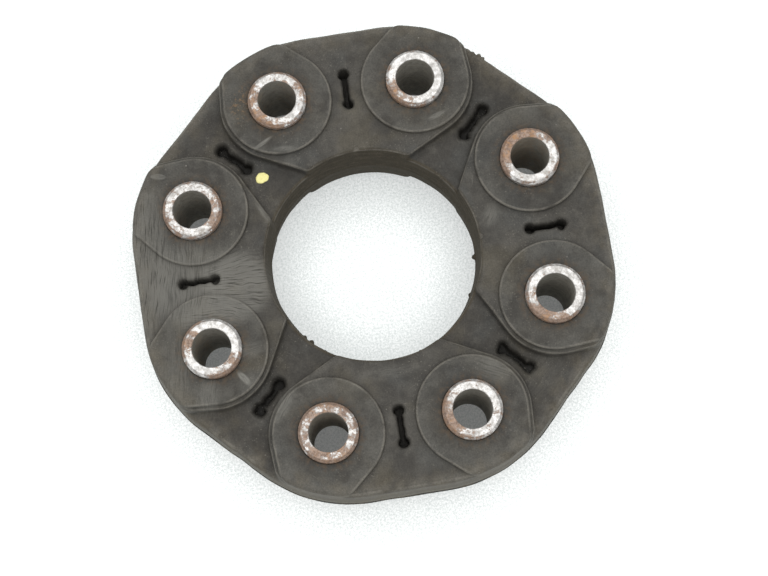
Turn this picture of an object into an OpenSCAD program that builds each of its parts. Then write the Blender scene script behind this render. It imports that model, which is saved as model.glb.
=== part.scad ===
// Driveshaft flex disc: a moulded rubber disc that joins two shaft flanges.
// Steel bushes sit on one bolt circle, and cord packs wound round each pair of
// neighbouring bushes carry the torque. Both faces are alike. The pairs joined
// by two cord packs have thick spans, and the pairs joined by one have thin spans.
// Units are millimetres. +Z is the disc's axis, and the bushes stand on z = 0.

/* [Bushes] */
// Diameter of the circle through the bush axes
bolt_circle_d = 115; // [110:0.5:120]
// Outside diameter of a bush
bush_d = 18.4; // [17:0.1:19.4]
// Diameter of the bolt bore
bore_d = 12; // [10:0.1:14]
// Length of a bush, end face to end face
bush_len = 34.6; // [31:0.1:40]
// Chamfer round the outside of each bush end
bush_chamfer = 0.9; // [0.3:0.1:1.5]
// Chamfer at each mouth of the bore
bore_chamfer = 0.2; // [0.1:0.1:0.8]
// How far a bush stands out of its pad
bush_proud = 2.5; // [1.6:0.1:3.5]

/* [Rubber body] */
// Rubber from the line through two bush axes out to the flat side
flat_reach = 21.3; // [19.5:0.1:24]
// Radius in plan of the round corner at each bush
corner_round = 45; // [25:0.5:60]
// How far the side wall leans in between the mould joint and the pads
wall_draft = 1.1; // [0.3:0.1:2]
// Height of the flash ridge along the mould joint
flash_h = 1.2; // [0.4:0.1:2]
// How far the flash ridge stands out of the wall
flash_proud = 0.4; // [0.1:0.1:0.8]
// Chamfer along the outer edges of the pads and spans
edge_chamfer = 0.6; // [0.2:0.1:1]
// Diameter of the centre hole at the mould joint, where it is narrowest
hole_d = 64.6; // [58:0.2:68]
// How far the hole's wall leans out between the mould joint and the thick spans
hole_flare = 1.3; // [0.3:0.1:2.2]

/* [Pads and spans] */
// Diameter of the round pad about each bush
pad_d = 34.4; // [31:0.2:36]
// Half angle at which a pad's straight sides draw in towards the outer wall
pad_taper = 27; // [20:1:35]
// Height of a pad above the thick spans
pad_step = 1.6; // [0.8:0.1:2.4]
// Depth of a thin span below the thick spans
thin_drop = 4.2; // [2:0.1:6]
// Width of the ledge that follows a pad beside a thin span
ledge_w = 1.2; // [0.6:0.1:2]
// Width of a thin span where it meets the centre hole
thin_mouth_w = 18; // [14:0.5:22]

/* [Slots] */
// Length of a dumb-bell slot over its round ends
slot_len = 13; // [10:0.2:15]
// Diameter of a slot's round ends
slot_end_d = 3.2; // [2:0.1:4.5]
// Width of a slot's neck
slot_neck_w = 1.7; // [0.8:0.1:1.9]
// How far a slot's middle lies outside the line through two bush axes
slot_offset = 1.3; // [0:0.1:2]
// Depth of the slots in the thick spans
thick_slot_depth = 9; // [4:0.5:11]
// Depth of the slots in the thin spans
thin_slot_depth = 5; // [2:0.5:7]

/* [Cord packs] */
// Rubber between a bush and the cord wound round it
cord_film = 0.5; // [0.3:0.1:1]
// Thickness of a wound cord pack
pack_t = 4.6; // [3:0.1:5.4]
// Height of the single cord pack in a thin span
coast_pack_h = 8.4; // [6:0.2:10]
// Rubber over the cord packs in a thick span
pack_cover = 2.2; // [1.6:0.1:3.2]

/* [Collars] */
// How far a cord pack stands out past the guide collars
collar_inset = 0.3; // [0.1:0.1:2]
// Thickness of a guide collar
collar_t = 1.2; // [0.8:0.1:1.8]

/* [Hidden] */
$fn = 96;
bush_count = 8;
pair_count = bush_count / 2;
pitch = 360 / bush_count;
half_pitch = pitch / 2;
bolt_r = bolt_circle_d / 2;
bush_r = bush_d / 2;
pack_in_r = bush_r + cord_film;
pack_out_r = pack_in_r + pack_t;
collar_r = pack_out_r - collar_inset;
pad_r = pad_d / 2;
// Half the distance between two bush axes, and the distance of their line from the disc's axis
half_chord = bolt_r * sin(half_pitch);
chord_r = bolt_r * cos(half_pitch);
// Levels above the mould joint, which lies halfway up the bushes
mid_z = bush_len / 2;
pad_z = mid_z - bush_proud;
thick_z = pad_z - pad_step;
thin_z = thick_z - thin_drop;
coast_z = coast_pack_h / 2;
drive_lo_z = coast_z + collar_t;
drive_hi_z = thick_z - pack_cover;
// Distances from the disc's axis at the mould joint: the flat sides, the centres of the round corners,
// the facets that join neighbouring flats under a corner's arc, and the outermost point of the flash
flat_r = chord_r + flat_reach;
round_at = (flat_r - corner_round) / cos(half_pitch);
facet_r = round_at + corner_round * cos(half_pitch);
outer_r = round_at + corner_round + flash_proud;
hole_r = hole_d / 2;
hole_slope = hole_flare / thick_z;
ledge_r = pad_r + ledge_w;
// Cutters run past the faces by over. Arcs overlap the straight edges they run into by seat, and the
// collars' spaces overlap the cord packs' spaces by seat.
over = 2;
seat = 0.05;
// Levels at which a bush carries its guide collars, by name
collar_levels = [
    ["top_outer", drive_hi_z], ["top_inner", coast_z],
    ["bottom_inner", -coast_z - collar_t], ["bottom_outer", -drive_hi_z - collar_t]
];
// Levels of the two cord packs of a thick span, by name
drive_levels = [["top", drive_lo_z], ["bottom", -drive_hi_z]];

// Places. Thick spans lie on the X and Y axes, and thin spans between them.
module on_bush(k) {
    rotate(half_pitch + (k - 1) * pitch) translate([bolt_r, 0, 0]) children();
}
module on_thick_span(j) {
    rotate((j - 1) * 2 * pitch) children();
}
module on_thin_span(j) {
    rotate((j - 1) * 2 * pitch + pitch) children();
}
module up_from_joint(z) {
    translate([0, 0, mid_z + z]) children();
}
module both_faces() {
    children();
    mirror([0, 0, 1]) children();
}

// Points down a side wall at reach from the disc's axis, with the flash ridge halfway
function side_wall(reach) =
    let (
        top_x = reach - wall_draft,
        upper = [[top_x - edge_chamfer, pad_z], [top_x, pad_z - edge_chamfer], [reach, flash_h / 2]]
    )
    concat(upper, [[reach + flash_proud, 0]], flip_y(upper));
// Points down the chamfer along a lower level's outer edge, run on past the side wall
function edge_slope(reach, level) =
    let (
        down = (level - edge_chamfer - flash_h / 2) / (pad_z - edge_chamfer - flash_h / 2),
        inner_x = reach - wall_draft * down - edge_chamfer,
        run = edge_chamfer + over
    )
    [[inner_x, level], [inner_x + run, level - run]];
function flip_y(points) = [for (i = [len(points) - 1:-1:0]) [points[i][0], -points[i][1]]];
function flip_x(points) = [for (i = [len(points) - 1:-1:0]) [-points[i][0], points[i][1]]];

// A bar right across the disc, with the points of side down each edge
module bar(side) {
    rotate([90, 0, 0]) linear_extrude(height = 2 * (outer_r + over), center = true)
        polygon(concat(side, flip_x(side)));
}

// A solid with the disc's outline, flat at each span and round at each bush. The points down its side
// come from side(reach).
module outlined(side) {
    intersection_for (k = [1:pair_count]) intersection() {
        rotate(k * pitch) bar(side(flat_r));
        rotate(k * pitch + half_pitch) bar(side(facet_r));
    }
    arc_side = side(corner_round + seat);
    for (k = [1:bush_count])
        rotate(k * pitch + half_pitch) translate([round_at, 0, 0]) rotate_extrude()
            polygon(concat([[0, arc_side[0][1]]], arc_side, [[0, arc_side[len(arc_side) - 1][1]]]));
}

// The solid blank, as high as the pads
module blank() {
    outlined(function (reach) side_wall(reach));
}

// The centre hole, narrowest at the mould joint
module centre_hole() {
    end_z = pad_z + over;
    end_r = hole_r + hole_slope * end_z;
    rotate_extrude() polygon([[0, -end_z], [end_r, -end_z], [hole_r, 0], [end_r, end_z], [0, end_z]]);
}

// Plan of a pad: round about its bush, with straight sides that draw in outwards
module pad_plan(r) {
    circle(r = r);
    shoulder = r - seat;
    polygon([
        [shoulder * sin(pad_taper), shoulder * cos(pad_taper)],
        [shoulder * sin(pad_taper), -shoulder * cos(pad_taper)],
        [r / sin(pad_taper), 0]
    ]);
}

// Plan of a thin span, along +X: its inner edges run from the hole to touch the ledges
module thin_plan() {
    bush = [chord_r, half_chord];
    mouth = [hole_r + hole_flare, thin_mouth_w / 2];
    gap = norm(bush - mouth);
    lean = atan2(bush[1] - mouth[1], bush[0] - mouth[0]) - asin(ledge_r / gap);
    run = sqrt(gap * gap - ledge_r * ledge_r);
    touch = mouth + run * [cos(lean), sin(lean)];
    in_hole = [0, mouth[1] - mouth[0] * tan(lean)];
    in_ledge = touch + seat * (bush - touch) / ledge_r;
    beyond = bush * (outer_r + over) / chord_r;
    side = [in_hole, in_ledge, bush, beyond];
    difference() {
        polygon(concat(side, flip_y(side)));
        for (turn = [-half_pitch, half_pitch])
            rotate(turn) translate([bolt_r, 0]) pad_plan(ledge_r);
    }
}

// What lies above a level within a plan, and outside the chamfer along the level's outer edge
module above(level) {
    start_z = level - edge_chamfer - over / 2;
    difference() {
        translate([0, 0, start_z]) linear_extrude(height = pad_z + over - start_z) children();
        outlined(function (reach) edge_slope(reach, level));
    }
}

// What is cut from the blank's upper face to leave the pads and the two kinds of span
module face_cut() {
    above(thick_z) difference() {
        circle(r = outer_r + over);
        for (k = [1:bush_count]) on_bush(k) pad_plan(pad_r);
    }
    above(thin_z) for (j = [1:pair_count]) on_thin_span(j) thin_plan();
}

// A dumb-bell slot that points to the disc's axis, from depth below level to above it
module slot(level, depth) {
    end_x = (slot_len - slot_end_d) / 2;
    translate([chord_r + slot_offset, 0, level - depth])
        linear_extrude(height = depth + over) {
            square([2 * end_x, slot_neck_w], center = true);
            for (x = [-end_x, end_x]) translate([x, 0]) circle(d = slot_end_d);
        }
}

// A wound cord pack from z = 0 up, round two bushes at equal distances on the Y axis
module cord_loop(height) {
    translate([chord_r, 0, 0]) for (s = [-1, 1]) {
        translate([0, s * half_chord, 0]) rotate(s > 0 ? 0 : 180)
            rotate_extrude(angle = 180) translate([pack_in_r, 0]) square([pack_t, height]);
        translate([s > 0 ? pack_in_r : -pack_out_r, -half_chord, 0])
            cube([pack_t, 2 * half_chord, height]);
    }
}

// Everything that the rubber is moulded round
module inserts_space() {
    for (k = [1:bush_count]) on_bush(k) {
        cylinder(r = bush_r, h = bush_len + 2 * over, center = true);
        for (c = collar_levels)
            translate([0, 0, c[1] - seat]) cylinder(r = collar_r, h = collar_t + 2 * seat);
    }
    for (j = [1:pair_count]) {
        for (d = drive_levels)
            on_thick_span(j) translate([0, 0, d[1]]) cord_loop(drive_hi_z - drive_lo_z);
        on_thin_span(j) translate([0, 0, -coast_z]) cord_loop(coast_pack_h);
    }
}

// The rubber moulding
module rubber_body() {
    color("#494743") up_from_joint(0) difference() {
        blank();
        centre_hole();
        both_faces() face_cut();
        both_faces() for (j = [1:pair_count]) {
            on_thick_span(j) slot(thick_z, thick_slot_depth);
            on_thin_span(j) slot(thin_z, thin_slot_depth);
        }
        inserts_space();
    }
}

// A steel bush, turned with a chamfer outside each end and at each mouth of its bore
module bush(k) {
    bore_r = bore_d / 2;
    half = [
        [bore_r, mid_z - bore_chamfer], [bore_r + bore_chamfer, mid_z],
        [bush_r - bush_chamfer, mid_z], [bush_r, mid_z - bush_chamfer]
    ];
    color("#b8aea4") on_bush(k) up_from_joint(0) rotate_extrude() polygon(concat(half, flip_y(half)));
}

// A guide collar, a flat ring on a bush
module collar(k, level) {
    color("#8d8d8a") on_bush(k) up_from_joint(level) difference() {
        cylinder(r = collar_r, h = collar_t);
        translate([0, 0, -over]) cylinder(r = bush_r, h = collar_t + 2 * over);
    }
}

// One of the two cord packs of a thick span
module drive_cord(j, level) {
    color("#c2a878") on_thick_span(j) up_from_joint(level) cord_loop(drive_hi_z - drive_lo_z);
}

// The cord pack of a thin span
module coast_cord(j) {
    color("#a8925f") on_thin_span(j) up_from_joint(-coast_z) cord_loop(coast_pack_h);
}

rubber_body();
for (k = [1:bush_count])
    bush(k);
for (k = [1:bush_count], c = collar_levels)
    collar(k, c[1]);
for (j = [1:pair_count], d = drive_levels)
    drive_cord(j, d[1]);
for (j = [1:pair_count])
    coast_cord(j);
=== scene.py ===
import math
from types import SimpleNamespace

import bpy
import numpy as np
from mathutils import Matrix, Vector


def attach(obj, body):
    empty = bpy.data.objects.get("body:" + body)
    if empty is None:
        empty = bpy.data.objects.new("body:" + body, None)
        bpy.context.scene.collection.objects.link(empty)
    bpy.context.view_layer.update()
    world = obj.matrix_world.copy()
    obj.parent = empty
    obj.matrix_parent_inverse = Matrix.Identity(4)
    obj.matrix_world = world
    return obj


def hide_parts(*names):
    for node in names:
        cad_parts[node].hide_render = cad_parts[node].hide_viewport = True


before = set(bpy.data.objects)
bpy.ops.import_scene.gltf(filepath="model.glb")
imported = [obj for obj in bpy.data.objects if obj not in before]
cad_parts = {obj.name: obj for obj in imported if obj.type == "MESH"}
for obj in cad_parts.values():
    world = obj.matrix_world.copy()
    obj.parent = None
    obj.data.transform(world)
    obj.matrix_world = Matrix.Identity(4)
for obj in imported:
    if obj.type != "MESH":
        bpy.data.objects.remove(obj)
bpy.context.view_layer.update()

# Sizes in millimetres, as in the part's source. Heights of the faces count from the mould joint.
MM = 0.001
BUSH_COUNT = 8
PITCH = 45.0
HALF = math.radians(PITCH / 2)
BOLT_R = 57.5
BUSH_R = 9.2
BORE_R = 6.0
BORE_CHAMFER = 0.2
BUSH_CHAMFER = 0.9
MID_Z = 17.3
PAD_Z = 14.8
THICK_Z = 13.2
THIN_Z = 9.0
CHORD_R = BOLT_R * math.cos(HALF)
HALF_CHORD = BOLT_R * math.sin(HALF)
FLAT_REACH = 21.3
FLAT_R = CHORD_R + FLAT_REACH
CORNER_ROUND = 45.0
ROUND_AT = (FLAT_R - CORNER_ROUND) / math.cos(HALF)
DRAFT = 1.1
FLASH_H = 1.2
FLASH_PROUD = 0.4
HOLE_R = 32.3
HOLE_FLARE = 1.3
HOLE_SLOPE = HOLE_FLARE / THICK_Z
PAD_R = 17.2
LEDGE_W = 1.2
TAPER = math.radians(27)
# Where a thin span's inner edge meets the hole, beside the middle of the span
MOUTH = (HOLE_R + HOLE_FLARE, 9.0)
SLOT_OFFSET = 1.3
SLOT_AT = CHORD_R + SLOT_OFFSET
SLOT_END = 4.9
SLOT_END_R = 1.6
SLOT_NECK = 0.85
THICK_SLOT_FLOOR = 4.2
THIN_SLOT_FLOOR = 4.0
# How widely the moulding's forms run into each other
BLEND = SimpleNamespace(
    step_edge=1.3, step_foot=1.5, pad_edge=0.7, pad_foot=0.6, wall_edge=2.2, hole_edge=0.8, bush_edge=0.35,
    thick_slot_floor=0.8, thick_slot_mouth=1.4, thin_slot_floor=1.0, thin_slot_mouth=2.4, blob=0.5)


def bush_centre(k):
    """Where the axis of bush k stands, in millimetres."""
    angle = HALF + (k - 1) * 2 * HALF
    return BOLT_R * math.cos(angle), BOLT_R * math.sin(angle)


# The rubber skin: a distance field of the moulding with soft edges, turned into a mesh
def smin(a, b, k):
    """The lesser of two distances, with the corner between them rounded over a width of k."""
    h = np.maximum(k - np.abs(a - b), 0) / k
    return np.minimum(a, b) - h * h * k / 4


def smax(a, b, k):
    """The greater of two distances, rounded in the same way."""
    return -smin(-a, -b, k)


def slot_plan(x, y):
    """Distance to a dumb-bell slot along +X."""
    along = np.abs(x - SLOT_AT)
    neck = np.maximum(along - SLOT_END, np.abs(y) - SLOT_NECK)
    return np.minimum(neck, np.hypot(along - SLOT_END, y) - SLOT_END_R)


def plan_fields(x, y):
    """Distances in plan from the axis, pads, thin spans' edges, bushes, wall, thin and thick slots."""
    r = np.hypot(x, y)
    turn = np.radians(np.abs(np.degrees(np.arctan2(y, x)) % (2 * PITCH) - PITCH))
    u = r * np.cos(turn - HALF) - BOLT_R
    v = np.abs(r * np.sin(turn - HALF))
    straight = u * math.cos(TAPER) - v * math.sin(TAPER) > 0
    pad = np.where(straight, u * math.sin(TAPER) + v * math.cos(TAPER), np.hypot(u, v)) - PAD_R
    ledge_r = PAD_R + LEDGE_W
    to_bush = (CHORD_R - MOUTH[0], HALF_CHORD - MOUTH[1])
    gap = math.hypot(*to_bush)
    lean = math.atan2(to_bush[1], to_bush[0]) - math.asin(ledge_r / gap)
    run = math.sqrt(gap * gap - ledge_r * ledge_r)
    px = r * np.cos(turn) - MOUTH[0]
    py = r * np.sin(turn) - MOUTH[1]
    before = px * math.cos(lean) + py * math.sin(lean) < run
    round_bush = np.maximum(LEDGE_W - pad, r * np.sin(turn - HALF))
    thick = np.where(before, py * math.cos(lean) - px * math.sin(lean), round_bush)
    out_u = u + BOLT_R - ROUND_AT
    corner = v * math.cos(HALF) < out_u * math.sin(HALF)
    wall = np.where(corner, np.hypot(out_u, v), out_u * math.cos(HALF) + v * math.sin(HALF)) - CORNER_ROUND
    thin_slot = slot_plan(r * np.cos(turn), r * np.sin(turn))
    thick_slot = slot_plan(r * np.cos(2 * HALF - turn), r * np.sin(2 * HALF - turn))
    return r, pad, thick, np.hypot(u, v) - BUSH_R, wall, thin_slot, thick_slot


# The least and the greatest of a set of waves, as shares of their usual length
WAVE_SPREAD = (0.7, 1.5)


class Waves:
    """Soft random bumps about zero in plan, with a length in millimetres and a height."""

    def __init__(self, rng, length, height, count=14):
        angle = rng.uniform(0, 2 * math.pi, count)
        pace = 2 * math.pi / (length * rng.uniform(*WAVE_SPREAD, count))
        phase = rng.uniform(0, 2 * math.pi, count)
        self.terms = list(zip(pace * np.cos(angle), pace * np.sin(angle), phase))
        self.height = height * math.sqrt(2 / count)

    def __call__(self, x, y):
        return self.height * sum(np.sin(a * x + b * y + c) for a, b, c in self.terms)


# Blobs of flash left by the mould and nicks in the edges, each as x, y, height above the joint and radius
FLASH_BLOBS = [
    (31.9, -3.3, 0.0, 0.8), (-23.3, -22.2, 0.0, 0.8), (-25.1, -20.2, 0.0, 0.6), (10.0, -30.6, 0.0, 0.6),
    (-9.0, -31.0, 0.0, 0.7), (28.5, -15.2, 0.0, 0.6), (16.0, -28.2, 0.0, 0.5), (-19.5, -25.8, 0.0, 0.5),
    (40.6, 61.9, 8.6, 0.9), (42.2, 60.9, 8.7, 0.7), (44.0, 59.8, 8.6, 0.8), (45.2, 58.8, 8.7, 0.5),
]
NICKS = [
    (-73.6, -27.0, 1.5, 1.1), (-72.9, -28.9, 2.5, 0.8), (34.0, 0.1, 13.4, 0.8), (0.2, 34.2, 13.4, 0.8),
    (-64.0, 40.6, 12.0, 0.9), (20.3, 73.2, 12.8, 0.8), (-29.1, 17.2, 13.4, 0.9),
]
GRID = 0.4
GRID_REACH = (190, 190, 40)
MOULDING = np.random.default_rng(8)
SAG_TOP = Waves(MOULDING, 17.0, 0.05)
SAG_BOTTOM = Waves(MOULDING, 17.0, 0.05)
WOBBLE = Waves(MOULDING, 11.0, 0.05)
RAGGED = Waves(MOULDING, 12.0, 0.10)
FILLED = Waves(MOULDING, 2.6, 0.16)
# The flash's share of its full width: as a rule, at the least, and on the hole's wall
FLASH_USUAL = 0.75
FLASH_LEAST = 0.4
HOLE_FLASH = 0.2
# How far the skin stays inside the source's outermost point
INSET = 0.02


def moulding_plan(x, y):
    """What the moulding's form depends on in plan."""
    flash = FLASH_PROUD * np.clip(FLASH_USUAL + RAGGED(x, y), FLASH_LEAST, 1.0)
    return plan_fields(x, y) + (SAG_TOP(x, y), SAG_BOTTOM(x, y), WOBBLE(x, y), flash, FILLED(x, y))


def moulding(plan, height):
    """Distance to the moulding's surface at heights from the mould joint, less than 0 inside."""
    r, pad, thick, bush, wall, thin_slot, thick_slot, sag_top, sag_bottom, wobble, flash, filled = plan
    up = np.abs(height)
    z = up + np.where(height > 0, sag_top, sag_bottom)
    body = smin(z - THIN_Z, smax(-thick, z - THICK_Z, BLEND.step_edge), BLEND.step_foot)
    body = smin(body, smax(pad, z - PAD_Z, BLEND.pad_edge), BLEND.pad_foot)
    lean = DRAFT * (up - FLASH_H / 2) / (PAD_Z - FLASH_H / 2)
    ridge = np.maximum(0, 1 - (up / FLASH_H) ** 2) ** 2
    proud = np.minimum(flash * ridge - lean - wobble, FLASH_PROUD - INSET)
    body = smax(body, wall - proud, BLEND.wall_edge)
    hole = HOLE_R + HOLE_SLOPE * up - r
    body = smax(body, hole - HOLE_FLASH * flash * ridge + wobble, BLEND.hole_edge)
    cut = smax(thick_slot + filled / 2, THICK_SLOT_FLOOR - z, BLEND.thick_slot_floor)
    body = smax(body, -cut, BLEND.thick_slot_mouth)
    cut = smax(thin_slot + filled, THIN_SLOT_FLOOR - z, BLEND.thin_slot_floor)
    body = smax(body, -cut, BLEND.thin_slot_mouth)
    return smax(body, -bush, BLEND.bush_edge)


def add_blobs(field, x, y, height):
    """The field with the flash blobs added and the nicks cut."""
    for blobs, sign in ((FLASH_BLOBS, 1), (NICKS, -1)):
        for bx, by, bz, radius in blobs:
            reach = 4 * radius + 2
            near = np.abs(x - bx) + np.abs(y - by) + np.abs(height - bz) < reach
            ball = np.sqrt((x[near] - bx) ** 2 + (y[near] - by) ** 2 + (height[near] - bz) ** 2) - radius
            field[near] = sign * smin(sign * field[near], ball, BLEND.blob)
    return field


def moulding_at(points):
    """Distance of each point to the moulding's surface, blobs and nicks included."""
    x, y, height = points.T
    return add_blobs(moulding(moulding_plan(x, y), height), x, y, height)


def rubber_field():
    """The field of the moulding on a regular grid, with the grid's lowest corner."""
    axes = [GRID * np.arange(-n, n + 1) for n in GRID_REACH]
    x, y = np.meshgrid(axes[0], axes[1], indexing="ij")
    plan = moulding_plan(x, y)
    field = np.empty([len(a) for a in axes], np.float32)
    for i, height in enumerate(axes[2]):
        level = np.full_like(x, height)
        field[:, :, i] = add_blobs(moulding(plan, level), x, y, level)
    return field, np.array([a[0] for a in axes])


def settle(points, rounds=2, probe=0.03, least_steep=0.3):
    """Points moved onto the exact surface."""
    for _ in range(rounds):
        here = moulding_at(points)
        slope = np.stack([moulding_at(points + step) - here for step in probe * np.eye(3)], 1) / probe
        steep = np.maximum((slope ** 2).sum(1), least_steep)
        move = slope * np.clip(here / steep, -GRID / 2, GRID / 2)[:, None]
        points = points - move
    return points


CORNERS = [(i & 1, i >> 1 & 1, i >> 2 & 1) for i in range(8)]
EDGES = [(i, i | bit) for i in range(8) for bit in (1, 2, 4) if not i & bit]


def surface_nets(field, low, step):
    """Points and four-sided faces of the surface where the field is zero."""
    inside = field < 0
    size = [n - 1 for n in field.shape]
    filled = np.zeros(size, np.int8)
    for dx, dy, dz in CORNERS:
        filled += inside[dx:dx + size[0], dy:dy + size[1], dz:dz + size[2]]
    cells = np.argwhere((filled > 0) & (filled < 8))
    values = np.stack([field[tuple((cells + c).T)] for c in CORNERS], 1)
    total = np.zeros(cells.shape)
    hits = np.zeros(len(cells))
    for i, j in EDGES:
        crossed = (values[:, i] < 0) != (values[:, j] < 0)
        share = np.where(crossed, values[:, i] / np.where(crossed, values[:, i] - values[:, j], 1), 0)
        along = np.array(CORNERS[j]) - np.array(CORNERS[i])
        total += crossed[:, None] * (np.array(CORNERS[i]) + share[:, None] * along)
        hits += crossed
    points = low + step * (cells + total / hits[:, None])
    number = np.full(size, -1, np.int64)
    number[tuple(cells.T)] = np.arange(len(cells))
    faces = []
    for axis in range(3):
        first, second = (axis + 1) % 3, (axis + 2) % 3
        ahead = np.take(inside, range(1, field.shape[axis]), axis)
        behind = np.take(inside, range(field.shape[axis] - 1), axis)
        spots = np.argwhere(ahead != behind)
        outward = behind[tuple(spots.T)]
        ring = []
        for a, b in ((-1, -1), (0, -1), (0, 0), (-1, 0)):
            cell = spots.copy()
            cell[:, first] += a
            cell[:, second] += b
            ring.append(number[tuple(cell.T)])
        quads = np.stack(ring, 1)
        faces.append(np.where(outward[:, None], quads, quads[:, ::-1]))
    return points, np.concatenate(faces)


def new_piece(name, points, faces):
    """A smooth-shaded mesh object from points in millimetres and faces with equal numbers of sides."""
    mesh = bpy.data.meshes.new(name)
    faces = np.asarray(faces, np.int32)
    mesh.vertices.add(len(points))
    mesh.vertices.foreach_set("co", (np.asarray(points) * MM).astype(np.float32).ravel())
    mesh.loops.add(faces.size)
    mesh.loops.foreach_set("vertex_index", faces.ravel())
    mesh.polygons.add(len(faces))
    mesh.polygons.foreach_set("loop_start", np.arange(0, faces.size, faces.shape[1], dtype=np.int32))
    mesh.update(calc_edges=True)
    mesh.shade_smooth()
    piece = bpy.data.objects.new(name, mesh)
    bpy.context.scene.collection.objects.link(piece)
    return piece


def bake_modifiers(piece):
    """Replaces a piece's mesh by what its modifiers make of it."""
    graph = bpy.context.evaluated_depsgraph_get()
    mesh = bpy.data.meshes.new_from_object(piece.evaluated_get(graph))
    old = piece.data
    piece.modifiers.clear()
    piece.data = mesh
    bpy.data.meshes.remove(old)
    mesh.name = piece.name


SKIN_TRIANGLES = 190000


def rubber_skin():
    """The rubber's outside, thinned to SKIN_TRIANGLES or so with flat faces kept flat."""
    field, low = rubber_field()
    points, quads = surface_nets(field, low, GRID)
    points = settle(points)
    points[:, 2] += MID_Z
    piece = new_piece("rubber_skin", points, quads)
    lean = piece.modifiers.new("lean", "DECIMATE")
    lean.ratio = SKIN_TRIANGLES / (2 * len(quads))
    flat = piece.modifiers.new("flat", "WEIGHTED_NORMAL")
    flat.keep_sharp = False
    bake_modifiers(piece)
    return piece


def lathe(name, profile, centre, sides, dents):
    """A closed turned ring about a vertical axis, with its ends pushed in by dents(points)."""
    angles = np.arange(sides) * 2 * math.pi / sides
    r, z = np.asarray(profile).T
    points = np.stack([
        np.outer(np.cos(angles), r), np.outer(np.sin(angles), r), np.tile(z, (sides, 1))], 2)
    points[:, :, 2] -= np.sign(z - MID_Z) * dents(points)
    points[:, :, :2] += centre
    n = len(profile)
    i, j = np.meshgrid(np.arange(sides), np.arange(n), indexing="ij")
    ahead, below = (i + 1) % sides, (j + 1) % n
    faces = np.stack([i * n + j, ahead * n + j, ahead * n + below, i * n + below], 2).reshape(-1, 4)
    return new_piece(name, points.reshape(-1, 3), faces)


def rounded(corners, radius, steps):
    """A closed outline with each corner swapped for a small arc-like curve."""
    corners = np.asarray(corners, float)
    made = []
    for i, corner in enumerate(corners):
        before = corners[i - 1] - corner
        after = corners[(i + 1) % len(corners)] - corner
        start = corner + before / np.hypot(*before) * radius
        end = corner + after / np.hypot(*after) * radius
        for t in np.linspace(0, 1, steps):
            made.append((1 - t) ** 2 * start + 2 * t * (1 - t) * corner + t * t * end)
    return np.array(made)


BUSH_SEED = 40
BUSH_SIDES = 144
BUSH_ROUNDING = 0.1
ROUNDING_STEPS = 4
# The longest edges of a bush's profile near its ends and along its bore and outside
END_ZONE = 1.0
END_STEP = 0.3
SIDE_STEP = 6.0
# Dents in the end faces: number and pace of the waves they come from, the wave height they start at,
# the most above that, the depth for one unit, and how far from the ends they reach
DENT_WAVES = 24
DENT_PACE = 2.6
DENT_START = 0.2
DENT_MOST = 1.5
DENT_DEPTH = 0.035
DENT_ZONE = 0.5


def bush_piece(k):
    """Bush k, turned with chamfers, with shallow dents in its ends."""
    rng = np.random.default_rng(BUSH_SEED + k)
    half = [
        (BORE_R, MID_Z - BORE_CHAMFER), (BORE_R + BORE_CHAMFER, MID_Z),
        (BUSH_R - BUSH_CHAMFER, MID_Z), (BUSH_R, MID_Z - BUSH_CHAMFER),
    ]
    corners = [(r, MID_Z + z) for r, z in half] + [(r, MID_Z - z) for r, z in reversed(half)]
    profile = rounded(corners, BUSH_ROUNDING, ROUNDING_STEPS)
    outline = []
    for i, point in enumerate(profile):
        towards = profile[(i + 1) % len(profile)] - point
        longest = END_STEP if abs(point[1] - MID_Z) > MID_Z - END_ZONE else SIDE_STEP
        parts = max(1, math.ceil(np.hypot(*towards) / longest))
        outline.extend(point + towards * n / parts for n in range(parts))
    waves = rng.uniform(-1, 1, (DENT_WAVES, 2)) * DENT_PACE
    phases = rng.uniform(0, 2 * math.pi, DENT_WAVES)

    def dents(points):
        ripple = sum(np.sin(points[:, :, :2] @ w + p) for w, p in zip(waves, phases))
        ripple = ripple / math.sqrt(DENT_WAVES)
        near_end = np.abs(points[:, :, 2] - MID_Z) > MID_Z - DENT_ZONE
        return np.where(near_end, np.clip(ripple - DENT_START, 0, DENT_MOST) * DENT_DEPTH, 0)

    return lathe(f"bush_{k}_turned", outline, bush_centre(k), BUSH_SIDES, dents)


PAINT_AT = (-30.6, 30.9)
PAINT_R = 1.9
# The waves of the dab's edge: height, number round it and phase
PAINT_EDGE = ((0.12, 2, 0.6), (0.09, 3, 2.0), (0.05, 7, 0.0))
PAINT_STRETCH = (1.06, 0.94)
PAINT_RINGS = 6
PAINT_SIDES = 40
# Heights over the span's face: at the edge, how much it crowns, at the middle, and how far it sinks in
PAINT_FILM = 0.02
PAINT_CROWN = 0.14
PAINT_MIDDLE = 0.15
PAINT_SUNK = 0.3


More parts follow.
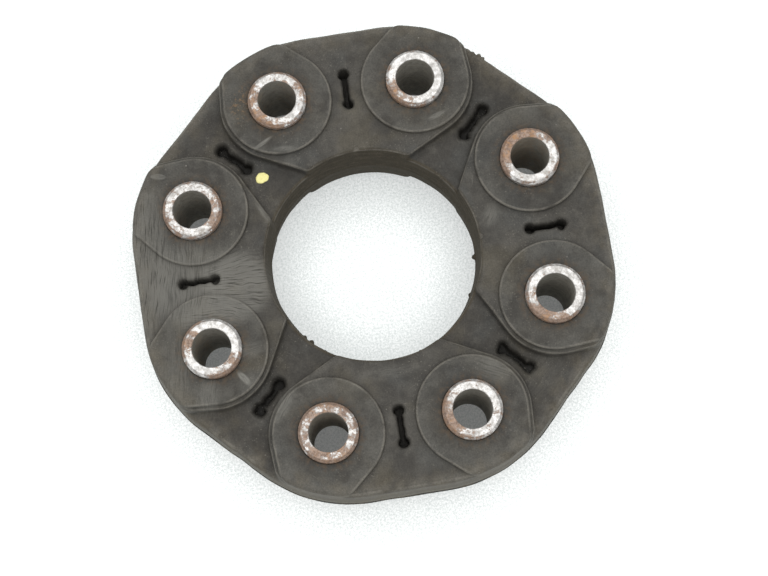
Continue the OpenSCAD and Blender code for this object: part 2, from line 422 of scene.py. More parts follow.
def paint_dot():
    """A thin dab of paint with an uneven edge, on a thin span's upper face."""
    x, y = PAINT_AT
    face = MID_Z + THIN_Z
    sides = PAINT_SIDES
    angle = np.arange(sides) * 2 * math.pi / sides
    edge = PAINT_R + sum(high * np.sin(turns * angle + phase) for high, turns, phase in PAINT_EDGE)
    share = np.linspace(0, 1, PAINT_RINGS + 1)[1:]
    height = face + PAINT_FILM + PAINT_CROWN * np.sqrt(np.clip(1 - share ** 4, 0, 1))
    points = [(x, y, face + PAINT_MIDDLE)]
    for s, h in zip(share, height):
        for a, e in zip(angle, edge):
            along = s * e * math.cos(a) * PAINT_STRETCH[0]
            across = s * e * math.sin(a) * PAINT_STRETCH[1]
            points.append((x + along, y + across, h))
    low = face - PAINT_SUNK
    points += [(p[0], p[1], low) for p in points[-sides:]] + [(x, y, low)]
    faces = [(0, 1 + i, 1 + (i + 1) % sides) for i in range(sides)]
    for ring in range(PAINT_RINGS):
        base = 1 + ring * sides
        for i in range(sides):
            j = (i + 1) % sides
            faces.append((base + i, base + sides + i, base + sides + j))
            faces.append((base + i, base + sides + j, base + j))
    last = 1 + PAINT_RINGS * sides
    faces += [(last + i, len(points) - 1, last + (i + 1) % sides) for i in range(sides)]
    return new_piece("paint_dot", points, faces)


# Shader graphs, written as arithmetic on node outputs
class Wire:
    """A node output that can be added, multiplied and so on, which makes Math nodes."""

    def __init__(self, tree, socket):
        self.tree = tree
        self.socket = socket

    def math(self, operation, *others):
        """A Math node on this wire and others."""
        return graph_math(self.tree, operation, self, *others)

    def __add__(self, other):
        return self.math("ADD", other)

    __radd__ = __add__

    def __sub__(self, other):
        return self.math("SUBTRACT", other)

    def __rsub__(self, other):
        return graph_math(self.tree, "SUBTRACT", other, self)

    def __mul__(self, other):
        return self.math("MULTIPLY", other)

    __rmul__ = __mul__

    def __truediv__(self, other):
        return self.math("DIVIDE", other)

    def __abs__(self):
        return self.math("ABSOLUTE")

    def fade(self, low, high):
        """0 where this is at low or beyond, 1 at high or beyond, and smooth between."""
        node = self.tree.nodes.new("ShaderNodeMapRange")
        node.interpolation_type = "SMOOTHSTEP"
        feed(self.tree, node.inputs["Value"], self)
        feed(self.tree, node.inputs["From Min"], min(low, high))
        feed(self.tree, node.inputs["From Max"], max(low, high))
        feed(self.tree, node.inputs["To Min"], 0.0 if low < high else 1.0)
        feed(self.tree, node.inputs["To Max"], 1.0 if low < high else 0.0)
        return Wire(self.tree, node.outputs["Result"])


def feed(tree, socket, value):
    """Links a wire to a socket, or sets the socket to a plain value."""
    if isinstance(value, Wire):
        tree.links.new(value.socket, socket)
    else:
        socket.default_value = value


def graph_math(tree, operation, *values):
    """A Math node on wires and numbers."""
    node = tree.nodes.new("ShaderNodeMath")
    node.operation = operation
    for socket, value in zip(node.inputs, values):
        feed(tree, socket, value)
    return Wire(tree, node.outputs[0])


# Heights between which marks on the upper side set in, so that none shows on the underside
UPPER_SIDE = (MID_Z, MID_Z + 4)
# How the strokes bend: the length of a bend, and how far it goes aside
BEND_LENGTH = 7.0
BEND_ASIDE = 2.4


class Paint:
    """A material's graph: places in millimetres, textures and mixes, and the shader they feed."""

    def __init__(self, name):
        self.material = bpy.data.materials.new(name)
        self.material.use_nodes = True
        self.tree = self.material.node_tree
        self.shader = self.tree.nodes["Principled BSDF"]
        coordinates = self.tree.nodes.new("ShaderNodeTexCoord")
        scale = self.tree.nodes.new("ShaderNodeVectorMath")
        scale.operation = "SCALE"
        scale.inputs["Scale"].default_value = 1 / MM
        self.tree.links.new(coordinates.outputs["Object"], scale.inputs[0])
        self.place = Wire(self.tree, scale.outputs[0])
        split = self.tree.nodes.new("ShaderNodeSeparateXYZ")
        feed(self.tree, split.inputs[0], self.place)
        self.x, self.y, self.z = (Wire(self.tree, s) for s in split.outputs)
        self.bend = None

    def vector(self, x, y, z):
        """Three wires or numbers as one vector."""
        node = self.tree.nodes.new("ShaderNodeCombineXYZ")
        for socket, value in zip(node.inputs, (x, y, z)):
            feed(self.tree, socket, value)
        return Wire(self.tree, node.outputs[0])

    def noise(self, size, detail=3.0, roughness=0.5, at=None, seed=0.0):
        """Noise from 0 to 1 whose lumps are about that many millimetres wide."""
        node = self.tree.nodes.new("ShaderNodeTexNoise")
        node.noise_dimensions = "4D"
        feed(self.tree, node.inputs["Vector"], self.place if at is None else at)
        feed(self.tree, node.inputs["W"], seed)
        feed(self.tree, node.inputs["Scale"], 1.0 / size)
        feed(self.tree, node.inputs["Detail"], detail)
        feed(self.tree, node.inputs["Roughness"], roughness)
        return Wire(self.tree, node.outputs[0])

    def specks(self, size, seed=0.0):
        """Distance from the nearest of scattered points, in steps of that many millimetres."""
        node = self.tree.nodes.new("ShaderNodeTexVoronoi")
        node.voronoi_dimensions = "4D"
        feed(self.tree, node.inputs["Vector"], self.place)
        feed(self.tree, node.inputs["W"], seed)
        feed(self.tree, node.inputs["Scale"], 1.0 / size)
        return Wire(self.tree, node.outputs["Distance"])

    def mix(self, share, a, b):
        """Colour a where share is 0 and colour b where it is 1."""
        node = self.tree.nodes.new("ShaderNodeMix")
        node.data_type = "RGBA"
        feed(self.tree, node.inputs[0], share)
        for socket, colour in ((node.inputs[6], a), (node.inputs[7], b)):
            feed(self.tree, socket, colour if isinstance(colour, Wire) else (*colour, 1.0))
        return Wire(self.tree, node.outputs[2])

    def shade(self, colour, factor):
        """A colour times a number."""
        node = self.tree.nodes.new("ShaderNodeVectorMath")
        node.operation = "SCALE"
        feed(self.tree, node.inputs[0], colour)
        feed(self.tree, node.inputs["Scale"], factor)
        return Wire(self.tree, node.outputs[0])

    def bump(self, height, depth):
        """Feeds the shader's normal from a height whose full range is that many millimetres."""
        node = self.tree.nodes.new("ShaderNodeBump")
        feed(self.tree, node.inputs["Height"], height)
        node.inputs["Distance"].default_value = depth * MM
        self.tree.links.new(node.outputs[0], self.shader.inputs["Normal"])

    def finish(self, colour, **sockets):
        """Feeds the shader's colour and the sockets named in lower case, and gives the material."""
        feed(self.tree, self.shader.inputs["Base Color"], colour)
        for name, value in sockets.items():
            label = name.replace("_", " ").title().replace("Ior", "IOR")
            feed(self.tree, self.shader.inputs[label], value)
        return self.material

    def patch(self, centre, angle, length, width, soft=0.6):
        """An oval place on the upper face, with the place's own coordinates along and across it."""
        c, s = math.cos(math.radians(angle)), math.sin(math.radians(angle))
        dx, dy = self.x - centre[0], self.y - centre[1]
        along = dx * c + dy * s
        across = dy * c - dx * s
        far = ((along / length) * (along / length) + (across / width) * (across / width)).math("SQRT")
        mask = far.fade(1.0, 1.0 - soft) * self.z.fade(*UPPER_SIDE)
        return mask, along, across

    def strokes(self, along, across, length, width, seed=0.0):
        """Brushed lines along one direction."""
        if self.bend is None:
            self.bend = self.noise(BEND_LENGTH, 2.0, 0.5, seed=0.5) * BEND_ASIDE
        at = self.vector(along / length, (across + self.bend) / width, 0.0)
        return self.noise(1.0, 2.0, 0.6, at, seed)


def rubber_places(p):
    """Node outputs for the height from the mould joint and the distances that plan_fields gives."""
    r = (p.x * p.x + p.y * p.y).math("SQRT")
    degrees = p.y.math("ARCTAN2", p.x) * math.degrees(1) + 360.0
    turn = abs(degrees.math("MODULO", 2 * PITCH) - PITCH) * math.radians(1) - HALF
    u = r * turn.math("COSINE") - BOLT_R
    v = abs(r * turn.math("SINE"))
    from_bush = (u * u + v * v).math("SQRT")
    side = (u * math.cos(TAPER) - v * math.sin(TAPER)).math("GREATER_THAN", 0.0)
    slant = u * math.sin(TAPER) + v * math.cos(TAPER)
    pad = slant * side + from_bush * (1.0 - side) - PAD_R
    out_u = u + (BOLT_R - ROUND_AT)
    corner = (out_u * math.sin(HALF) - v * math.cos(HALF)).math("GREATER_THAN", 0.0)
    reach = (out_u * out_u + v * v).math("SQRT") * corner
    wall = reach + (out_u * math.cos(HALF) + v * math.sin(HALF)) * (1.0 - corner) - CORNER_ROUND
    slots = []
    asides = []
    for bearing in (turn + HALF, HALF - turn):
        ends = abs(r * bearing.math("COSINE") - SLOT_AT) - SLOT_END
        aside = abs(r * bearing.math("SINE"))
        asides.append(aside)
        lobe = (ends * ends + aside * aside).math("SQRT") - SLOT_END_R
        slots.append(ends.math("MAXIMUM", aside - SLOT_NECK).math("MINIMUM", lobe))
    return SimpleNamespace(
        up=abs(p.z - MID_Z), r=r, from_bush=from_bush, pad=pad, wall=wall,
        thin_slot=slots[0], thick_slot=slots[1], thin_aside=asides[0])


# Colours of the rubber by place, of what lies on it, and of the light and shade painted on it
RUBBER = SimpleNamespace(
    thin=(0.057, 0.053, 0.046), thick=(0.083, 0.078, 0.068), pad=(0.072, 0.068, 0.059),
    smear=(0.044, 0.041, 0.036), stain=(0.042, 0.039, 0.034), bloom=(0.140, 0.131, 0.113),
    brown=(0.104, 0.090, 0.062), grey=(0.092, 0.096, 0.092), rubbed=(0.124, 0.120, 0.107),
    wall=(0.118, 0.107, 0.089), joint_highlight=(0.175, 0.162, 0.136), flash=(0.021, 0.019, 0.015),
    hole_dark=(0.071, 0.060, 0.043), hole_pale=(0.103, 0.089, 0.066),
    outer_dirt=(0.130, 0.110, 0.076), rim_highlight=(0.182, 0.170, 0.146), edge_highlight=(0.205, 0.192, 0.164),
    pad_foot_shade=(0.036, 0.034, 0.029), thick_slot=(0.048, 0.045, 0.039), thin_slot=(0.028, 0.026, 0.022),
    slot_floor_shade=(0.013, 0.012, 0.010), dust=(0.38, 0.36, 0.32), stipple=(0.240, 0.225, 0.190),
    hair=(0.24, 0.23, 0.20), bush_shade=(0.040, 0.037, 0.032), bush_rust=(0.125, 0.085, 0.052),
    worn=(0.225, 0.219, 0.195), stroke=(0.036, 0.034, 0.029), rust_stain=(0.230, 0.150, 0.085),
)

# Heights from the mould joint where a tone is still absent and where it is full
LEVEL = SimpleNamespace(
    thick=(9.6, 12.4), pad=(13.5, 14.4), pad_face=(14.0, 14.7), joint=(4.5, 2.0), flash=(1.15, 0.75),
    rim=(8.2, 8.8), under_pad=(13.9, 13.4), over_thin=(8.0, 9.0), pad_highlight_line=(14.1, 14.5),
    thick_highlight_line=(12.2, 12.6), under_thick=(13.08, 12.9), thin_highlight_line=(7.9, 8.3), under_thin=(8.88, 8.7),
    slot_depth=(8.4, 6.4),
)

# The same for distances in plan: from the axis, a bush's axis, the wall, a pad's edge, a slot or a thin
# span's middle line
REACH = SimpleNamespace(
    hole_wall=(34.4, 33.4), hole_matt=(35.0, 33.4), rubbed=(11.0, 16.5), bush_shade=(12.0, 9.6),
    bush_rust=(13.0, 9.6), outer_wall=(-1.7, -0.8), outer_dirt=(-9.0, -1.0), rim=(-5.0, -1.2),
    pad_foot=(2.2, 0.4), pad_highlight_line=(0.55, 0.15), thin_highlight_line=(10.0, 7.5), off_thick_slot=(0.8, 2.2),
    off_thin_slot=(0.8, 2.6), thick_slot=(1.0, 0.0), thin_slot=(1.7, 0.1), in_thin_slot=(0.5, -0.2),
)
# How far inside a pad's edge its painted highlight line runs
PAD_HIGHLIGHT_INSET = 0.3


def rubber_tone(p, at):
    """The rubber's colour by level and wall, with broad stains, and painted light and shade on the side
    walls.
    """
    clouds = p.noise(26.0, 3.0, 0.55)
    smears = p.noise(9.0, 4.0, 0.6, seed=2.0)
    mottle = p.noise(4.5, 5.0, 0.6, seed=6.0)
    tint = p.noise(14.0, 3.0, 0.55, seed=5.0)
    colour = p.mix(at.up.fade(*LEVEL.thick), RUBBER.thin, RUBBER.thick)
    colour = p.mix(at.up.fade(*LEVEL.pad), colour, RUBBER.pad)
    colour = p.shade(colour, 0.35 + clouds * 1.3)
    colour = p.mix(smears.fade(0.54, 0.36) * 0.65, colour, RUBBER.smear)
    colour = p.mix(mottle.fade(0.48, 0.34) * 0.4, colour, RUBBER.stain)
    colour = p.mix(mottle.fade(0.54, 0.68) * 0.3, colour, RUBBER.bloom)
    colour = p.mix(tint.fade(0.50, 0.68) * 0.4, colour, RUBBER.brown)
    colour = p.mix(tint.fade(0.48, 0.32) * 0.3, colour, RUBBER.grey)
    rubbed = at.from_bush.fade(*REACH.rubbed) * at.up.fade(*LEVEL.pad_face) * smears.fade(0.36, 0.60)
    colour = p.mix(rubbed * 0.5, colour, RUBBER.rubbed)

    # The side walls, painted paler for the light the floor throws up on them, with a painted highlight
    # towards the mould joint and a painted shadow along the flash
    outer = at.wall.fade(*REACH.outer_wall)
    # painted light: the walls paler for the light the floor throws up on them
    colour = p.mix(outer, colour, RUBBER.wall)
    # painted highlight: the band by the mould joint paler, as where the flash catches the light
    colour = p.mix(outer * at.up.fade(*LEVEL.joint), colour, RUBBER.joint_highlight)
    # painted shadow: a dark line along the flash
    colour = p.mix(outer * at.up.fade(*LEVEL.flash), colour, RUBBER.flash)
    sweep = p.y.math("ARCTAN2", p.x) * HOLE_R
    streaks = p.strokes(sweep, p.z, 9.0, 1.1, 21.0)
    hole = p.mix(streaks.fade(0.38, 0.78), RUBBER.hole_dark, RUBBER.hole_pale)
    return p.mix(at.r.fade(*REACH.hole_wall), colour, hole)


def rubber_edges(p, at, colour):
    """Brown dirt towards the outer wall, and painted light and shade: highlights on the outer rims and
    edges, shade at the pads' feet and in and around the slots.
    """
    dirt = at.wall.fade(*REACH.outer_dirt) * p.noise(6.0, 4.0, 0.6, seed=7.0).fade(0.40, 0.64)
    colour = p.mix(dirt * 0.5, colour, RUBBER.outer_dirt)
    broken = p.noise(5.0, 3.0, 0.6, seed=9.0).fade(0.25, 0.60)
    # painted highlight: the upper faces paler near the outer wall, where their rounded edges catch the
    # light
    rim = at.wall.fade(*REACH.rim) * at.up.fade(*LEVEL.rim)
    colour = p.mix(rim * broken * 0.45, colour, RUBBER.rim_highlight)
    # painted shade: darker in the corner at the foot of each pad
    pad_foot_shade = abs(at.pad).fade(*REACH.pad_foot) * at.up.fade(*LEVEL.under_pad) * at.up.fade(*LEVEL.over_thin)
    colour = p.mix(pad_foot_shade * 0.25, colour, RUBBER.pad_foot_shade)
    # painted highlight: pale lines along the pads' edges and the rounded top edges of the thick and thin
    # levels
    highlight_line = abs(at.pad + PAD_HIGHLIGHT_INSET).fade(*REACH.pad_highlight_line) * at.up.fade(*LEVEL.pad_highlight_line)
    highlight_line = highlight_line + at.up.fade(*LEVEL.thick_highlight_line) * at.up.fade(*LEVEL.under_thick)
    thin_highlight_line = at.up.fade(*LEVEL.thin_highlight_line) * at.up.fade(*LEVEL.under_thin)
    highlight_line = highlight_line + thin_highlight_line * at.thin_aside.fade(*REACH.thin_highlight_line)
    highlight_line = highlight_line * broken * at.thick_slot.fade(*REACH.off_thick_slot)
    highlight_line = highlight_line * at.thin_slot.fade(*REACH.off_thin_slot)
    colour = p.mix(highlight_line * 0.65, colour, RUBBER.edge_highlight)
    # painted shade: darker in and around the slots, near black on the thin slots' floors
    colour = p.mix(at.thick_slot.fade(*REACH.thick_slot) * 0.85, colour, RUBBER.thick_slot)
    colour = p.mix(at.thin_slot.fade(*REACH.thin_slot) * 0.85, colour, RUBBER.thin_slot)
    deep_slot_shade = at.thin_slot.fade(*REACH.in_thin_slot) * at.up.fade(*LEVEL.slot_depth)
    return p.mix(deep_slot_shade * 0.9, colour, RUBBER.slot_floor_shade)


# Directions of the hair scratches, in degrees, with their seeds
HAIRS = ((17.0, 41.0), (81.0, 42.0), (138.0, 43.0))


def rubber_dust(p, at, colour):
    """Specks of dust, hair scratches, painted shade round the bushes' feet, and rusty stains about the
    bushes.
    """
    chance = p.noise(9.0, 2.0, seed=11.0).fade(0.42, 0.64)
    speck = p.specks(2.9, 1.0).fade(0.115, 0.055) * chance
    colour = p.mix(speck * 0.75, colour, RUBBER.dust)
    dusty = p.noise(11.0, 3.0, seed=19.0).fade(0.45, 0.62)
    stipple = p.noise(0.42, 1.0, 0.5, seed=17.0).fade(0.62, 0.72) * dusty
    colour = p.mix(stipple * 0.4, colour, RUBBER.stipple)
    for angle, seed in HAIRS:
        c, s = math.cos(math.radians(angle)), math.sin(math.radians(angle))
        hair = p.strokes(p.x * c + p.y * s, p.y * c - p.x * s, 14.0, 0.32, seed)
        colour = p.mix(hair.fade(0.66, 0.76) * 0.35, colour, RUBBER.hair)
    on_pad = at.up.fade(*LEVEL.pad_face)
    # painted shade: the pads darker round the foot of each bush
    colour = p.mix(at.from_bush.fade(*REACH.bush_shade) * on_pad * 0.5, colour, RUBBER.bush_shade)
    rusty = p.noise(1.6, 4.0, 0.65, seed=13.0).fade(0.44, 0.62)
    return p.mix(at.from_bush.fade(*REACH.bush_rust) * on_pad * rusty * 0.5, colour, RUBBER.bush_rust)


# Strokes that spread from one point towards the hole: the place, its half
# sizes, the point, its distance, and how pale the place and how dark the strokes are
FAN_PLACE = (-43.0, -3.0)
FAN_SIZE = (14.0, 13.5)
FAN_FROM = (-82.0, 1.0)
FAN_REACH = 42.0
FAN_PALE = 0.66
FAN_DARK = 0.95

# Worn places: centre, direction, half length, half width, softness, stroke length, paleness, darkness
# of the strokes, seed
BRUSHED = [
    ((-58.0, -1.0), 81, 17.0, 15.0, 0.5, 7.0, 0.52, 0.45, 1.0),
    ((-69.0, 8.0), 81, 31.0, 8.5, 0.6, 8.0, 0.46, 0.90, 3.0),
    ((-52.0, -12.5), -4, 14.0, 6.0, 0.7, 6.0, 0.50, 0.60, 4.0),
    ((-64.0, -26.0), 81, 17.0, 7.0, 0.8, 9.0, 0.30, 0.45, 17.0),
    ((-56.4, -36.0), 76, 8.0, 4.5, 0.7, 4.0, 0.40, 0.60, 5.0),
    ((-44.8, -32.4), 125, 3.4, 1.3, 0.5, 3.0, 0.95, 0.10, 6.0),
    ((-42.0, -24.0), 10, 7.0, 4.0, 0.8, 7.0, 0.30, 0.60, 18.0),
    ((-34.0, -42.0), 55, 9.0, 3.0, 0.7, 5.0, 0.50, 0.35, 7.0),
    ((30.9, -41.5), -30, 10.0, 6.5, 0.9, 8.0, 0.38, 0.45, 8.0),
    ((-28.5, 40.3), 28, 4.6, 0.8, 0.6, 5.0, 0.85, 0.0, 9.0),
    ((-21.8, 37.6), -5, 5.0, 1.2, 0.8, 2.0, 0.50, 0.2, 10.0),
    ((27.0, 40.5), 18, 4.2, 1.1, 0.7, 4.0, 0.65, 0.2, 11.0),
    ((-62.4, 34.8), -12, 2.8, 1.1, 0.3, 9.0, 0.55, 0.0, 12.0),
    ((37.9, 5.9), 60, 5.5, 3.6, 0.8, 4.0, 0.40, 0.3, 13.0),
    ((-31.4, 18.3), 120, 5.0, 1.5, 0.7, 3.0, 0.55, 0.2, 14.0),
    ((46.2, -45.4), 45, 14.0, 8.0, 1.0, 6.0, 0.18, 0.2, 15.0),
    ((0.0, -37.5), 0, 13.0, 3.0, 0.8, 4.0, 0.22, 0.2, 16.0),
]

# A rusty stain beside a bush: centre, direction, half length, half width, softness
RUST_STAIN = ((-33.8, 54.0), 70, 9.0, 4.5, 0.9)


def brush(p, colour, mask, lines, light, dark):
    """A colour worn pale over a place, with dark strokes left in it."""
    pale = mask * (0.5 + 0.5 * lines.fade(0.62, 0.40))
    colour = p.mix(pale * light, colour, RUBBER.worn)
    return p.mix(mask * lines.fade(0.54, 0.68) * dark, colour, RUBBER.stroke)


def rubber_scuffs(p, colour, relief):
    """Worn and scuffed places, each set where the object has it, with the relief they leave."""
    for centre, angle, length, width, soft, run, light, dark, seed in BRUSHED:
        mask, along, across = p.patch(centre, angle, length, width, soft)
        lines = p.strokes(along, across, run, 0.42, seed)
        colour = brush(p, colour, mask, lines, light, dark)
    mask, _, _ = p.patch(FAN_PLACE, 0, *FAN_SIZE, 0.5)
    dx, dy = p.x - FAN_FROM[0], p.y - FAN_FROM[1]
    along = (dx * dx + dy * dy).math("SQRT")
    lines = p.strokes(along, dy.math("ARCTAN2", dx) * FAN_REACH, 7.0, 0.45, 2.0)
    colour = brush(p, colour, mask, lines, FAN_PALE, FAN_DARK)
    relief = relief - mask * lines * 0.6
    stain, _, _ = p.patch(*RUST_STAIN)
    rusty = p.noise(0.9, 3.0, 0.6, seed=31.0).fade(0.52, 0.62)
    return p.mix(stain * rusty * 0.7, colour, RUBBER.rust_stain), relief


def rubber_material():
    """Old moulded rubber, from its tones to its dust and scuffs."""
    p = Paint("rubber")
    at = rubber_places(p)
    mottle = p.noise(2.4, 4.0, 0.65, seed=3.0)
    grain = p.noise(0.5, 2.0, 0.7, seed=4.0)
    colour = rubber_edges(p, at, rubber_tone(p, at))
    colour = p.shade(colour, (mottle * 1.0 + grain * 1.1 - 0.05).math("MAXIMUM", 0.3))
    colour = rubber_dust(p, at, colour)
    colour, relief = rubber_scuffs(p, colour, grain * 0.5 + mottle * 0.4)
    p.bump(relief, 0.09)
    inside = at.r.fade(*REACH.hole_matt)
    return p.finish(colour, roughness=0.56 + mottle * 0.2 + inside * 0.2, specular_ior_level=0.22)


# Colours of the bushes: bare steel, rust on their ends, and scale in their bores
STEEL = SimpleNamespace(
    dark=(0.31, 0.30, 0.285), bright=(0.68, 0.67, 0.655), speck=(0.24, 0.22, 0.195),
    rust_dark=(0.205, 0.138, 0.102), rust_pale=(0.450, 0.330, 0.258), rust_orange=(0.460, 0.255, 0.125),
    rust_rim=(0.140, 0.092, 0.065), scale_dark=(0.250, 0.238, 0.196), scale_pale=(0.400, 0.376, 0.312),
    scale_pit=(0.130, 0.118, 0.092),
)
# Distances from a bush's axis: where the bore gives way to the face, and where the rim sets in
BORE_EDGE = (BORE_R - 0.05, BORE_R + 0.1)
BUSH_RIM = (8.15, 8.6)


def bush_material(k, bias, lobes, grey):
    """Bare steel with rust that gathers on some bearings, grey speckle, and scale in the bore."""
    cx, cy = bush_centre(k)
    p = Paint(f"bush_steel_{k}")
    dx, dy = p.x - cx, p.y - cy
    r = (dx * dx + dy * dy).math("SQRT")
    blotch = p.noise(2.4, 5.0, 0.66, seed=3.0 * k)
    pits = p.noise(0.7, 4.0, 0.65, seed=3.0 * k + 1)
    tone = p.noise(1.5, 4.0, 0.6, seed=3.0 * k + 2)
    grain = p.noise(0.32, 2.0, 0.6, seed=3.0 * k + 0.5)
    face = r.fade(*BORE_EDGE)
    rim = r.fade(*BUSH_RIM)
    amount = blotch + pits * 0.3 + rim * 0.10 + (bias - 0.15)
    orange = 0.0
    for bearing, weight in lobes:
        towards = (dx * math.cos(math.radians(bearing)) + dy * math.sin(math.radians(bearing))) / r
        lobe = towards.fade(0.35, 0.95)
        amount = amount + lobe * weight
        orange = lobe + orange
    rusted = (amount + grain * 0.2 - 0.1).fade(0.59, 0.71)
    steel = p.mix(tone.fade(0.3, 0.7), STEEL.dark, STEEL.bright)
    steel = p.shade(steel, 0.45 + grain * 1.1)
    steel = p.mix(pits.fade(0.50, 0.62) * grey, steel, STEEL.speck)
    brown = p.mix(pits.fade(0.36, 0.62), STEEL.rust_dark, STEEL.rust_pale)
    brown = p.mix(orange * tone.fade(0.48, 0.64) * 0.45, brown, STEEL.rust_orange)
    brown = p.mix(rim * 0.35, brown, STEEL.rust_rim)
    colour = p.mix(rusted, steel, brown)
    scale = p.mix(blotch.fade(0.35, 0.7), STEEL.scale_dark, STEEL.scale_pale)
    scale = p.mix(pits.fade(0.50, 0.64) * 0.5, scale, STEEL.scale_pit)
    colour = p.mix(face, scale, colour)
    bare = face * (1.0 - rusted)
    p.bump(pits * 0.6 + rusted * 0.4 + tone * 0.2, 0.12)
    return p.finish(colour, metallic=bare, roughness=0.74 - bare * (0.32 - tone * 0.3))


YELLOW = SimpleNamespace(pale=(1.0, 0.94, 0.40), dark=(0.90, 0.78, 0.26), worn=(0.30, 0.25, 0.12))
COLLAR = SimpleNamespace(pale=(0.42, 0.42, 0.41), dark=(0.30, 0.29, 0.27))
CORD = SimpleNamespace(dark=(0.26, 0.19, 0.10), pale=(0.58, 0.46, 0.28), soaked=(0.10, 0.085, 0.06))
# Radians of the wave across a cord pack for each millimetre of height
CORD_TURNS = 7.0


def paint_material():
    """Yellow paint, worn through in spots."""
    p = Paint("paint_mark")
    spots = p.noise(0.8, 4.0, 0.6)
    worn = p.noise(0.35, 3.0, 0.7, seed=2.0)
    colour = p.mix(spots.fade(0.45, 0.75), YELLOW.pale, YELLOW.dark)
    colour = p.mix(worn.fade(0.68, 0.76), colour, YELLOW.worn)
    p.bump(spots, 0.06)
    return p.finish(colour, roughness=0.42 + spots * 0.2)


def collar_material():
    """Dull steel for the collars, which stay out of sight."""
    p = Paint("collar_steel")
    blotch = p.noise(4.0, 4.0, 0.6)
    fine = p.noise(0.5, 3.0, 0.6, seed=3.0)
    colour = p.mix(blotch.fade(0.35, 0.7), COLLAR.pale, COLLAR.dark)
    p.bump(fine, 0.04)
    return p.finish(colour, metallic=0.9, roughness=0.42 + fine * 0.2)


def cord_material():
    """Cord wound in many turns, bound in rubber: lines round the pack and a twist in each."""
    p = Paint("cord")
    turns = (p.z * CORD_TURNS).math("SINE") * 0.5 + 0.5
    twist = p.noise(0.6, 3.0, 0.6)
    soak = p.noise(6.0, 3.0, 0.55, seed=5.0)
    colour = p.mix(turns, CORD.dark, CORD.pale)
    colour = p.mix(soak.fade(0.45, 0.7) * 0.6, colour, CORD.soaked)
    p.bump(turns * 0.7 + twist * 0.3, 0.25)
    return p.finish(colour, roughness=0.8 + twist * 0.1)


def dress(piece, material):
    """Gives a piece one material."""
    piece.data.materials.clear()
    piece.data.materials.append(material)


skin = rubber_skin()
dress(skin, rubber_material())
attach(skin, "root")
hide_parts("rubber_body")

# How rusty each bush is all over, the bearings that rust gathers on with how much, and the grey speckle
BUSH_WEAR = {
    1: (0.03, ((120, 0.24), (160, 0.17), (60, 0.12)), 0.4),
    2: (-0.08, ((235, 0.20), (170, 0.14)), 0.2),
    3: (0.01, ((185, 0.16), (35, 0.14), (250, 0.12)), 0.4),
    4: (0.02, ((350, 0.12), (190, 0.10)), 0.9),
    5: (-0.10, ((150, 0.26), (300, 0.26)), 0.2),
    6: (0.13, ((270, 0.06), (90, 0.06)), 0.5),
    7: (0.00, ((180, 0.18), (230, 0.10)), 0.6),
    8: (-0.04, ((250, 0.18), (200, 0.14)), 0.4),
}
for k in range(1, BUSH_COUNT + 1):
    bush = bush_piece(k)
    dress(bush, bush_material(k, *BUSH_WEAR[k]))
    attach(bush, "root")
    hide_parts(f"bush_{k}")

dot = paint_dot()
dress(dot, paint_material())
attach(dot, "root")

collar_steel = collar_material()
cord_fabric = cord_material()
for name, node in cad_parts.items():
    if name.startswith("collar_"):
        dress(node, collar_steel)
    elif "_cord_" in name:
        dress(node, cord_fabric)


# The floor, the light and the camera
def seen_ray(tree):
    """1 for rays from the camera, from reflections and through glass, 0 for those that light things."""
    path = tree.nodes.new("ShaderNodeLightPath")
    camera, glossy, through = (
        Wire(tree, path.outputs[f"Is {kind} Ray"]) for kind in ("Camera", "Glossy", "Transmission"))
    return camera.math("MAXIMUM", glossy).math("MAXIMUM", through)


FOAM_DARK = (0.58, 0.65, 0.635)
FOAM_PALE = (0.92, 0.95, 0.94)
FOAM_SHADED = (0.36, 0.42, 0.41)
# Distances from the disc's axis: where the floor is open to view inside the hole and outside the disc,
# where the painted shade in the hole sets in and ends, and where the floor's painted glow grows beyond the
# disc and far off
HOLE_FLOOR = (38.0, 35.0)
OUTER_FLOOR = (64.0, 70.0)
SHADE_START = (12.0, 33.0)
SHADE_END = (40.0, 35.0)
BEYOND_DISC = (73.0, 105.0)
FAR_OFF = (150.0, 500.0)
# Painted light that the floor gives off of its own: everywhere, where it is open to view, as glints on its
# beads, and further out
GLOW = SimpleNamespace(least=0.085, open=0.28, beads=0.14, beyond=0.15, far=0.45)


def floor_material():
    """Pale foam that shows white to the camera and in reflections, and keeps the shadow."""
    p = Paint("floor")
    beads = p.noise(0.65, 2.0, 0.8)
    lumps = p.noise(5.0, 3.0, 0.6, seed=2.0)
    bright = beads.fade(0.36, 0.64)
    colour = p.mix(bright * 0.75 + lumps * 0.25, FOAM_DARK, FOAM_PALE)
    r = (p.x * p.x + p.y * p.y).math("SQRT")
    # painted shade: the foam greyer towards the hole's wall
    colour = p.mix(r.fade(*SHADE_START) * r.fade(*SHADE_END) * 0.5, colour, FOAM_SHADED)
    p.finish(colour, roughness=0.9, specular_ior_level=0.1)
    p.shader.inputs["Emission Color"].default_value = (1.0, 1.0, 1.0, 1.0)
    open_floor = r.fade(*HOLE_FLOOR).math("MAXIMUM", r.fade(*OUTER_FLOOR))
    glow = open_floor * (GLOW.open + bright * GLOW.beads) + r.fade(*BEYOND_DISC) * GLOW.beyond + GLOW.least
    glow = glow + r.fade(*FAR_OFF) * GLOW.far
    feed(p.tree, p.shader.inputs["Emission Strength"], seen_ray(p.tree) * glow)
    return p.material


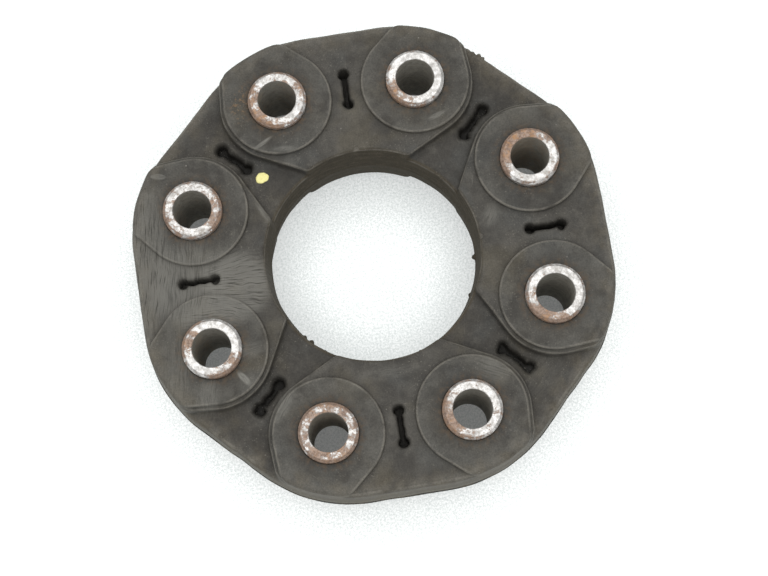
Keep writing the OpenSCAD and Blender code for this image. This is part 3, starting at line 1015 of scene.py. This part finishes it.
FLOOR_HALF = 1500.0
FLOOR_Z = -0.05
floor = new_piece(
    "floor",
    [(x * FLOOR_HALF, y * FLOOR_HALF, FLOOR_Z) for x, y in ((-1, -1), (1, -1), (1, 1), (-1, 1))],
    [(0, 1, 2, 3)],
)
dress(floor, floor_material())

scene = bpy.context.scene
world = bpy.data.worlds.new("studio")
world.use_nodes = True
world.node_tree.nodes["Background"].inputs["Color"].default_value = (1.0, 1.0, 1.0, 1.0)
WORLD_LIGHT = 0.33
backdrop = world.node_tree.nodes["Background"].inputs["Strength"]
feed(world.node_tree, backdrop, seen_ray(world.node_tree) * (1.0 - WORLD_LIGHT) + WORLD_LIGHT)
scene.world = world


def softbox(name, place, size, watts):
    """A square lamp that faces the object."""
    lamp = bpy.data.lights.new(name, "AREA")
    lamp.size = size * MM
    lamp.energy = watts
    holder = bpy.data.objects.new(name, lamp)
    holder.location = Vector(place) * MM
    holder.rotation_euler = (-holder.location).to_track_quat("-Z", "Y").to_euler()
    scene.collection.objects.link(holder)


softbox("softbox", place=(-15, 95, 560), size=700, watts=2.43)
softbox("fill", place=(20, -300, 420), size=260, watts=0.45)


def place_camera():
    """The photograph's view, found from the bushes' places in it."""
    focal_px, width_px = 1546.16, 768.0
    distance = 472.67
    elevation, azimuth, roll = (math.radians(v) for v in (78.113, -6.14, -3.132))
    target = Vector((1.579, -12.195, 34.59))
    back = Vector((
        math.sin(azimuth) * math.cos(elevation), -math.cos(azimuth) * math.cos(elevation),
        math.sin(elevation)))
    level = Vector((math.cos(azimuth), math.sin(azimuth), 0))
    upright = back.cross(level)
    right = level * math.cos(roll) + upright * math.sin(roll)
    up = upright * math.cos(roll) - level * math.sin(roll)
    lens = bpy.data.cameras.new("camera")
    lens.sensor_width = 36.0
    lens.lens = lens.sensor_width * focal_px / width_px
    lens.clip_start = 0.01
    holder = bpy.data.objects.new("camera", lens)
    turned = Matrix((right, up, back)).transposed()
    holder.matrix_world = Matrix.Translation((target + back * distance) * MM) @ turned.to_4x4()
    scene.collection.objects.link(holder)
    scene.camera = holder


place_camera()
scene.view_settings.view_transform = "Standard"
